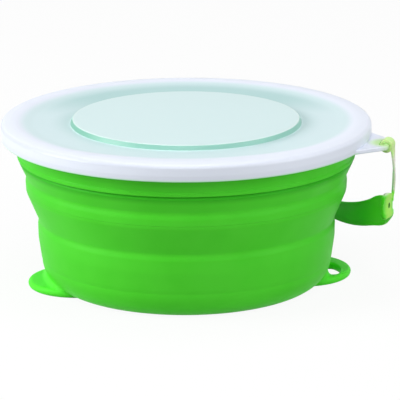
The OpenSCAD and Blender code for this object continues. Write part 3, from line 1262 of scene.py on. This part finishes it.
    def build(self, shell: TurnedShell) -> None:
        """Makes the five pieces and fixes the cup, the ring and the collar to their bodies.

        Args:
            shell: the tree that turns their sections.
        """
        fasten(self.cup(), Slot.SILICONE, "base_cup", "base_cup")
        low = self.folding_wall(self.cup_top, self.ring_low)
        blend_wall(
            shell.turn("bowl_lower_fold", low, True, self.finish),
            "base_cup", "middle_ring", "lower_fold")
        ring = shell.turn("bowl_ring", self.ring_section(), True, self.finish)
        fasten(ring, Slot.SILICONE, "middle_ring", "middle_ring")
        high = self.folding_wall(self.ring_top, self.collar_low)
        blend_wall(
            shell.turn("bowl_upper_fold", high, True, self.finish),
            "middle_ring", "rim_collar", "upper_fold")
        collar = shell.turn("bowl_collar", self.collar_section(), True, self.finish)
        fasten(collar, Slot.SILICONE, "rim_collar", "rim_collar")


def fasten(made: bpy.types.Object, slot: Slot, body: str, *nodes: str) -> None:
    """Fixes a finished piece to its body.

    Args:
        made: the piece.
        slot: the record's material slot; not used.
        body: the body that it rides on.
        nodes: the nodes that it stands for.
    """
    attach(made, body)
    if nodes:
        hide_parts(*nodes)
    LOG.info("%s: %d faces on %s", made.name, len(made.data.polygons), body)


def blend_wall(
    made: bpy.types.Object,
    below: str,
    above: str,
    node: str,
) -> None:
    """Bakes a folding wall's placement into its mesh, hides the node that it stands for and logs the
    bodies below and above it.

    Args:
        made: the wall.
        below: the body below it, named in the log.
        above: the body above it, named in the log.
        node: the node that it stands for.
    """
    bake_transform(made)
    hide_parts(node)
    LOG.info("%s: %d faces between %s and %s", made.name, len(made.data.polygons), below, above)


@dataclass
class Lid:
    """The frosted lid: a rounded rim, a ring-shaped recess, a raised disc and a side tab."""

    sheet: float = 1.6 * MM
    skirt: float = 1.6 * MM
    skirt_draw: float = 0.4 * MM
    skirt_bulge: float = 4.0 * MM
    crest_rounding: float = 1.8 * MM
    crest_edge: float = 0.4 * MM
    crest_run: float = 4.0 * MM
    crest_bend: float = 5.0 * MM
    crest_drop: float = 0.1 * MM
    disc_rise: float = 0.3 * MM
    recess_radius: float = 62.0 * MM
    recess_run: float = 7.0 * MM
    recess_depth: float = 1.7 * MM
    recess_rise: float = 0.9 * MM
    recess_shoulder: float = 12.0 * MM
    recess_bend: float = 20.0 * MM
    disc_radius: float = 45.9 * MM
    side_run: float = 0.9 * MM
    step_rounding: float = 0.6 * MM
    inner_rounding: float = 0.5 * MM
    seat_rounding: float = 0.3 * MM
    skirt_inner_edge: float = 0.35 * MM
    plug_radius: float = 66.6 * MM
    tab_turn: float = math.radians(-14.2)
    tab_reach: float = 8.0 * MM
    tab_root: float = 16.4 * MM
    tab_end: float = 5.6 * MM
    tab_thickness: float = 1.8 * MM
    tab_rounding: float = 0.5 * MM
    tab_tip_rounding: float = 0.8 * MM
    tab_overlap: float = 0.9
    tab_steps: int = 24
    bar_radius: float = 1.3 * MM
    bar_rounding: float = 0.5 * MM
    bar_step: float = 2.0 * MM
    bar_sides: int = 32
    slot_half: float = 3.6 * MM
    slot_rounding: float = 0.6 * MM
    bar_inset: float = 0.6 * MM
    slot_width: float = 1.6 * MM
    edge_support: float = 0.3 * MM
    section_step: float = 4.0 * MM
    finish: Frosted = field(default_factory=Frosted)

    def __post_init__(self) -> None:
        """Reads the lid's reach and heights from the frame."""
        low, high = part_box("lid")
        self.radius = high.y
        self.bar_height = low.z + self.bar_radius
        self.skirt_low = self.bar_height - self.tab_thickness / 2
        self.disc_top = high.z
        self.crest_top = self.disc_top - self.crest_drop
        self.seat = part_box("rim_collar")[1].z
        self.bar_distance = self.radius + self.tab_reach
        # The painted green light from the strap centres on the bar's middle.
        middle = self._placed(Vector((self.bar_distance, 0.0, 0.0)))
        self.finish = replace(self.finish, strap_light_place=tuple(middle))

    def section(self) -> list[Point]:
        """The open section from the underside's middle round the skirt to the disc's middle."""
        recess_top = self.crest_top - self.recess_depth
        plug_low = recess_top - self.sheet
        disc_inner = self.disc_radius - self.sheet
        skirt_inner = self.radius - self.skirt
        corners = [
            Corner(0.0, self.disc_top - self.sheet),
            Corner(disc_inner, self.disc_top - self.sheet, self.inner_rounding),
            Corner(disc_inner + self.side_run, plug_low, self.step_rounding),
            Corner(self.plug_radius, plug_low, self.inner_rounding),
            Corner(self.plug_radius, self.seat, self.seat_rounding),
            Corner(skirt_inner, self.seat, self.inner_rounding),
            Corner(skirt_inner, self.skirt_low, self.skirt_inner_edge),
            Corner(self.radius - self.skirt_draw, self.skirt_low, self.step_rounding),
            Corner(self.radius, (self.skirt_low + self.seat) / 2, self.skirt_bulge),
            Corner(self.radius, self.crest_top - self.crest_edge, self.crest_rounding),
            Corner(self.radius - self.crest_run, self.crest_top, self.crest_bend),
            Corner(self.recess_radius + self.recess_run, self.crest_top, self.recess_shoulder),
            Corner(self.recess_radius, recess_top + self.recess_rise, self.recess_bend),
            Corner(self.disc_radius + self.side_run, recess_top, self.step_rounding),
            Corner(self.disc_radius, self.disc_top + self.disc_rise, self.step_rounding),
            Corner(0.0, self.disc_top + self.disc_rise)]
        line = rounded(corners, closed=False)
        return supported(line, False, self.edge_support, self.section_step)

    def tab(self) -> bpy.types.Object:
        """The tab's plate with the two arms that hold the bar, its edges rounded."""
        inner = self.radius - self.skirt / 2
        end = self.bar_distance + self.bar_radius * self.tab_overlap
        slot_inner = self.bar_distance - self.bar_radius - self.slot_width
        root = math.sqrt(inner ** 2 - self.tab_root ** 2)
        side = [
            Corner(root, self.tab_root),
            Corner(end, self.tab_end, self.tab_tip_rounding),
            Corner(end, self.slot_half, self.slot_rounding),
            Corner(slot_inner, self.slot_half, self.slot_rounding)]
        outline = rounded([
            *(Corner(c.across, -c.up, c.radius) for c in side), *reversed(side)])
        spread = math.asin(self.tab_root / inner)
        outline += arc((0.0, 0.0), inner, spread, -spread, self.tab_steps)[1:-1]
        curve = bpy.data.curves.new("tab_outline", "CURVE")
        curve.dimensions = "2D"
        curve.fill_mode = "BOTH"
        curve.bevel_depth = self.tab_rounding
        curve.bevel_resolution = 3
        curve.offset = -self.tab_rounding
        curve.extrude = self.tab_thickness / 2 - self.tab_rounding
        spline = curve.splines.new("POLY")
        spline.points.add(len(outline) - 1)
        for point, (x, y) in zip(spline.points, outline):
            point.co = (x, y, 0.0, 1.0)
        spline.use_cyclic_u = True
        flat = bpy.data.objects.new("tab_outline", curve)
        bpy.context.collection.objects.link(flat)
        bpy.context.view_layer.update()
        mesh = bpy.data.meshes.new_from_object(
            flat.evaluated_get(bpy.context.evaluated_depsgraph_get()))
        bpy.data.objects.remove(flat)
        points = [tuple(self._placed(v.co)) for v in mesh.vertices]
        faces = [tuple(p.vertices) for p in mesh.polygons]
        return mesh_object("tab_plate", points, faces, self.finish)

    def bar(self) -> bpy.types.Object:
        """The bar between the tab's arms, with rounded ends inside them."""
        half = self.slot_half + self.bar_inset
        corners = [
            Corner(0.0, -half),
            Corner(self.bar_radius, -half, self.bar_rounding),
            Corner(self.bar_radius, half, self.bar_rounding),
            Corner(0.0, half)]
        line = supported(rounded(corners, closed=False), False, FINE_SUPPORT, self.bar_step)
        turns = [FULL_TURN * k / self.bar_sides for k in range(self.bar_sides)]
        points = [
            tuple(self._placed(Vector((self.bar_distance + r * math.cos(a), y, r * math.sin(a)))))
            for r, y in line for a in turns]
        return mesh_object("tab_bar", points, ring_faces(len(line), len(turns)), self.finish)

    def _placed(self, spot: Vector) -> Vector:
        """A point of the tab's own frame in the lid's."""
        raised = Vector((spot.x, spot.y, spot.z + self.bar_height))
        return Matrix.Rotation(self.tab_turn, 3, "Z") @ raised

    def build(self, shell: TurnedShell) -> None:
        """Makes the lid and fixes it to its body.

        Args:
            shell: the tree that turns its section.
        """
        made = shell.turn("lid_shell", self.section(), False, self.finish)
        tab = self.tab()
        join_solids(tab, self.bar(), Joint.ADDED)
        join_solids(made, tab, Joint.ADDED)
        fasten(made, Slot.LID, "lid", "lid")


def level_line(turn: float) -> Vector:
    """The level direction at a turn about the upright axis."""
    return Vector((math.cos(turn), math.sin(turn), 0.0))


@dataclass
class Strap:
    """The strap: a loop round the tab's bar, a thin hanging strip and a curled band."""

    strip_width: float = 6.0 * MM
    band_width: float = 11.0 * MM
    thickness: float = 1.3 * MM
    strip_thickness: float = 1.0 * MM
    clearance: float = 0.05 * MM
    drop: float = 24.5 * MM
    lean: float = 1.2 * MM
    bow: float = 0.8 * MM
    curl_radius: float = 30.0 * MM
    curl_shift: float = 4.2 * MM
    curl_front: float = math.radians(19.0)
    curl_back: float = math.radians(40.0)
    tail_length: float = 50.0 * MM
    fall: float = 19.5 * MM
    end_radius: float = 3.0 * MM
    pin_radius: float = 0.9 * MM
    pin_share: float = 0.47
    join_turn: float = math.radians(7.0)
    join_share: float = 0.7
    swing: float = math.radians(10.0)
    border: float = 1.7 * MM
    border_limit: float = 0.6
    border_slope: float = 1.6
    border_depth: float = 0.4 * MM
    edge_rounding: float = 0.35 * MM
    edge_steps: int = 4
    loop_rounding: float = 0.3 * MM
    loop_step: float = 2.0 * MM
    loop_steps_per_turn: int = 24
    loop_sides: int = 48
    pin_sides: int = 24
    band_steps: int = 90
    strip_steps: int = 36
    end_shares: tuple[float, ...] = (0.02, 0.08, 0.2, 0.38, 0.6, 0.8)
    fall_shares: tuple[float, ...] = (0, 0.05, 0.16, 0.32, 0.49, 0.64, 0.77, 0.87, 0.94, 0.98, 1)
    width_shares: tuple[float, ...] = (1, 0.88, 0.66, 0.84, 1.12, 1, 0.93, 0.87, 0.8, 0.74, 0.69)
    finish: ThinSilicone = field(default_factory=ThinSilicone)

    def __post_init__(self) -> None:
        """Works out the strap's places from the lid's bar."""
        lid = Lid()
        self.turned = Matrix.Rotation(lid.tab_turn, 3, "Z")
        self.bar_distance = lid.bar_distance
        self.bar_height = lid.bar_height
        self.loop_inner = lid.bar_radius + self.clearance
        self.loop_middle = self.loop_inner + self.thickness / 2
        self.strip_distance = self.bar_distance + self.loop_middle
        self.centre = Vector((
            self.strip_distance - self.lean - self.curl_radius, self.curl_shift))
        self.curl_length = self.curl_radius * (self.curl_front + self.curl_back)
        self.join_place = self.curl_radius * (self.curl_front + self.join_turn)
        self.band_length = self.curl_length + self.tail_length
        self.pin_spot = self.band_middle(self.join_place * self.pin_share)
        # The painted shade round the pin hole centres on the hole.
        placed = tuple(self.turned @ self.pin_spot)
        self.finish = replace(self.finish, pin_shade_place=placed, pin_radius=self.pin_radius)

    def band_turn(self, s: float) -> float:
        """Direction from the curl's centre at a length along the band."""
        return min(s, self.curl_length) / self.curl_radius - self.curl_front

    def share_at(self, shares: Sequence[float], s: float) -> float:
        """A smooth value at a length along the band.

        Args:
            shares: the values that it passes through, at even distances.
            s: the length along the band.

        Returns:
            The value there.
        """
        last = len(shares) - 1
        along = min(max(s / self.band_length, 0.0), 1.0) * last
        place = min(int(along), last - 1)
        t = along - place
        a, b = shares[place], shares[place + 1]
        start = (b - shares[max(place - 1, 0)]) / 2
        end = (shares[min(place + 2, last)] - a) / 2
        ease = t * t * (3 - 2 * t)
        return a + (b - a) * ease + start * t * (1 - t) ** 2 - end * t * t * (1 - t)

    def band_middle(self, s: float) -> Vector:
        """Middle line of the band.

        Args:
            s: the length along it.

        Returns:
            The place there.
        """
        a = self.band_turn(s)
        run = max(s - self.curl_length, 0.0)
        flat = self.centre + self.curl_radius * Vector((math.cos(a), math.sin(a)))
        flat += run * Vector((-math.sin(a), math.cos(a)))
        fall = self.fall * self.share_at(self.fall_shares, s)
        return Vector((flat.x, flat.y, self.bar_height - self.drop - fall))

    def band_half(self, s: float) -> float:
        """Half width of the band.

        Args:
            s: the length along it.

        Returns:
            The half width there.
        """
        near = min(s, self.band_length - s)
        c = self.end_radius
        cut = 0.0 if near >= c else c - math.sqrt(max(c * c - (c - near) ** 2, 0.0))
        return self.band_width * self.share_at(self.width_shares, s) / 2 - cut

    def strip_middle(self, t: float) -> Vector:
        """Middle line of the hanging strip.

        Args:
            t: the place along it, 0 at the bar and 1 in the band's upper border.

        Returns:
            The place there.
        """
        end = self.band_middle(self.join_place)
        end.z += self.band_half(self.join_place) * self.join_share
        ease = t * t * (3 - 2 * t)
        bow = 4 * self.bow * t * (1 - t)
        return Vector((
            self.strip_distance + (end.x - self.strip_distance) * ease + bow, end.y * ease,
            self.bar_height + (end.z - self.bar_height) * t))

    def ribbon(
        self,
        name: str,
        stations: Sequence[tuple[Vector, Vector, float]],
        thickness: float,
        depth: float,
    ) -> bpy.types.Object:
        """A flat ribbon with rounded edges through a row of stations.

        Args:
            name: the mesh's name.
            stations: (middle, side, half width) at each place.
            thickness: how thick it is at its borders.
            depth: how deep its two faces are sunk between their borders.

        Returns:
            The new object.
        """
        points: list[Vector] = []
        sides = 0
        last = len(stations) - 1
        for i, (middle, side, half) in enumerate(stations):
            along = (stations[min(i + 1, last)][0] - stations[max(i - 1, 0)][0]).normalized()
            across = along.cross(side).normalized()
            through = across.cross(along).normalized()
            ring = self.ribbon_section(half, thickness / 2, depth)
            sides = len(ring)
            points += [middle + across * w + through * u for w, u in ring]
        faces = ring_faces(len(stations), sides)
        faces.append(tuple(range(sides)))
        faces.append(tuple(range(last * sides, (last + 1) * sides)))
        return mesh_object(name, [self.turned @ p for p in points], faces, self.finish)

    def ribbon_section(self, half: float, h: float, depth: float) -> list[Point]:
        """Closed section of the ribbon: thick borders, a thinner middle and rounded edges.

        Args:
            half: half its width.
            h: half its thickness.
            depth: how deep each face is sunk between the borders.

        Returns:
            Its points as (across, through).
        """
        r = self.edge_rounding
        reach = min(self.border, half * self.border_limit)
        inner = half - reach - depth * self.border_slope
        middles = [(half - r, r - h), (half - r, h - r), (r - half, h - r), (r - half, r - h)]
        quarter = math.pi / 2
        right_low, right_high, left_high, left_low = (
            arc(middle, r, quarter * (k - 1), quarter * k, self.edge_steps)
            for k, middle in enumerate(middles))
        across = [half - reach, inner, -inner, reach - half]
        sunk = [0.0, depth, depth, 0.0]
        upper = [(w, h - sink) for w, sink in zip(across, sunk)]
        lower = [(-w, sink - h) for w, sink in zip(across, sunk)]
        return [*right_low, *right_high, *upper, *left_high, *left_low, *lower]

    def build(self) -> None:
        """Makes the strap and fixes it to its body."""
        band = self.band()
        join_solids(band, self.strip(), Joint.ADDED)
        join_solids(band, self.loop(), Joint.ADDED)
        join_solids(band, self.pin(), Joint.CUT)
        band.name = "strap"
        fasten(band, Slot.STRAP, "lid_strap", "lid_strap")

    def band(self) -> bpy.types.Object:
        """The curled band with its rounded ends."""
        places = [self.band_length * i / self.band_steps for i in range(1, self.band_steps)]
        ends = [self.end_radius * share for share in self.end_shares]
        inner = [p for p in places if self.end_radius < p < self.band_length - self.end_radius]
        lengths = ends + inner + [self.band_length - e for e in reversed(ends)]
        stations = [
            (self.band_middle(s), level_line(self.band_turn(s)), self.band_half(s))
            for s in lengths]
        return self.ribbon("strap_band", stations, self.thickness, self.border_depth)

    def strip(self) -> bpy.types.Object:
        """The thin strip that hangs from the loop and turns a little on its way to the band."""
        stations = []
        for i in range(self.strip_steps + 1):
            t = i / self.strip_steps
            turn = 4 * self.swing * t * (1 - t) + self.join_turn * t
            stations.append((self.strip_middle(t), level_line(turn), self.strip_width / 2))
        return self.ribbon("strap_strip", stations, self.strip_thickness, 0.0)

    def loop(self) -> bpy.types.Object:
        """The loop round the tab's bar."""
        half = self.strip_width / 2
        inner, outer = self.loop_inner, self.loop_inner + self.thickness
        spots = [(inner, -half), (outer, -half), (outer, half), (inner, half)]
        corners = [Corner(r, y, self.loop_rounding) for r, y in spots]
        section = rounded(corners, steps_per_turn=self.loop_steps_per_turn)
        line = supported(section, True, FINE_SUPPORT, self.loop_step)
        turns = [FULL_TURN * k / self.loop_sides for k in range(self.loop_sides)]
        points = [
            self.turned @ Vector((
                self.bar_distance + r * math.cos(a), y, self.bar_height + r * math.sin(a)))
            for a in turns for r, y in line]
        faces = ring_faces(len(turns), len(line), True)
        return mesh_object("strap_loop", points, faces, self.finish)

    def pin(self) -> bpy.types.Object:
        """The cutter of the small pin hole near the band's short end."""
        sides = self.pin_sides
        turns = [FULL_TURN * k / sides for k in range(sides)]
        points = [
            self.turned @ (self.pin_spot + Vector((
                x, self.pin_radius * math.cos(a), self.pin_radius * math.sin(a))))
            for x in (-2 * self.thickness, 2 * self.thickness) for a in turns]
        faces = ring_faces(2, sides) + [tuple(range(sides)), tuple(range(sides, 2 * sides))]
        return mesh_object("pin_hole", points, faces, self.finish)


def seen_rays(graph: Graph) -> Signal:
    """Tells the rays that the camera sees from those that only carry light.

    Args:
        graph: the tree.

    Returns:
        1 for the camera's own rays and for those seen in gloss or through the lid, else 0.
    """
    path = graph.node("ShaderNodeLightPath")
    seen = graph.signal(path, "Is Camera Ray") + graph.signal(path, "Is Glossy Ray")
    return seen + graph.signal(path, "Is Transmission Ray")


@dataclass(frozen=True)
class White(Finish):
    """The stage's white, which stays white to the eye and in gloss but keeps a soft shadow."""

    name: str = "stage_white"
    seen_albedo: float = 0.95
    bounce: float = 0.45
    lift: float = 0.93

    def shade(self, graph: Graph) -> bpy.types.Node:
        """Builds the shader.

        Args:
            graph: the material's tree.

        Returns:
            The shader's node.
        """
        seen = seen_rays(graph)
        tone = graph.mix(seen, (self.bounce,) * 3, (self.seen_albedo,) * 3)
        matt = graph.node("ShaderNodeBsdfDiffuse", None, {"Color": tone})
        light = graph.node("ShaderNodeEmission", None, {"Color": WHITE, "Strength": 1.0})
        return graph.node(
            "ShaderNodeMixShader", None,
            {0: seen * self.lift, 1: matt.outputs[0], 2: light.outputs[0]})


@dataclass(frozen=True)
class Lamp:
    """A square soft lamp: where it stands and how many watts it gives."""

    name: str
    place: Spot
    watts: float


@dataclass
class Studio:
    """The pale floor, the soft lamps, the world and the camera."""

    lamps: tuple[Lamp, ...] = (
        Lamp("key_left", (-1.249, -0.22, 0.5), 15.9),
        Lamp("overhead", (0.0, 0.05, 1.25), 6.2),
        Lamp("front", (0.0, -0.98, 0.90), 5.5),
        Lamp("fill_right", (1.138, -0.531, 0.376), 6.9))
    lamp_size: float = 0.8
    aim: Spot = (0.0, 0.0, 0.04)
    camera_place: Spot = (5.52 * MM, -1300 * MM, 387.9 * MM)
    pitch: float = math.radians(15.24)
    roll: float = math.radians(-0.22)
    focal_pixels: float = 3308.0
    image_pixels: float = 400.0
    sensor: float = 36.0
    far_limit: float = 20.0
    floor_size: float = 8.0
    ambient: float = 0.1
    finish: White = field(default_factory=White)

    def camera(self) -> None:
        """The photograph's view: a long lens from a little above."""
        data = bpy.data.cameras.new("photo_view")
        data.sensor_width = self.sensor
        data.lens = self.focal_pixels / self.image_pixels * self.sensor
        data.clip_end = self.far_limit
        made = bpy.data.objects.new("photo_view", data)
        tilt = Matrix.Rotation(math.pi / 2 - self.pitch, 4, "X")
        look = tilt @ Matrix.Rotation(self.roll, 4, "Z")
        made.matrix_world = Matrix.Translation(self.camera_place) @ look
        bpy.context.collection.objects.link(made)
        bpy.context.scene.camera = made

    def set_lamp(self, lamp: Lamp) -> None:
        """Stands a lamp in its place, turned towards the bowl.

        Args:
            lamp: the lamp's name, place and power.
        """
        data = bpy.data.lights.new(lamp.name, "AREA")
        data.size = self.lamp_size
        data.energy = lamp.watts
        made = bpy.data.objects.new(lamp.name, data)
        line = Vector(self.aim) - Vector(lamp.place)
        look = line.to_track_quat("-Z", "Y").to_matrix().to_4x4()
        made.matrix_world = Matrix.Translation(lamp.place) @ look
        bpy.context.collection.objects.link(made)

    def floor(self) -> None:
        """The white floor that carries the shadow."""
        half = self.floor_size / 2
        corners = [(-half, -half, 0.0), (half, -half, 0.0), (half, half, 0.0), (-half, half, 0.0)]
        made = mesh_object("floor", corners, [(0, 1, 2, 3)], self.finish)

    def world(self) -> None:
        """An even white surrounding."""
        world = bpy.data.worlds.new("studio")
        bpy.context.scene.world = world
        world.use_nodes = True
        world.node_tree.nodes.clear()
        graph = Graph(world.node_tree)
        level = self.ambient + seen_rays(graph) * (1 - self.ambient)
        light = graph.node("ShaderNodeBackground", None, {"Color": WHITE, "Strength": level})
        graph.node("ShaderNodeOutputWorld", None, {0: light.outputs[0]})

    def build(self) -> None:
        """Sets up the studio."""
        bpy.context.scene.view_settings.view_transform = "Standard"
        self.camera()
        self.floor()
        self.world()
        for lamp in self.lamps:
            self.set_lamp(lamp)


def main() -> None:
    """Builds the bowl, its lid and its strap in the studio."""
    logging.basicConfig(level=logging.INFO, format="%(message)s")
    shell = TurnedShell()
    Bowl().build(shell)
    Lid().build(shell)
    Strap().build()
    Studio().build()


if __name__ == "__main__":
    main()
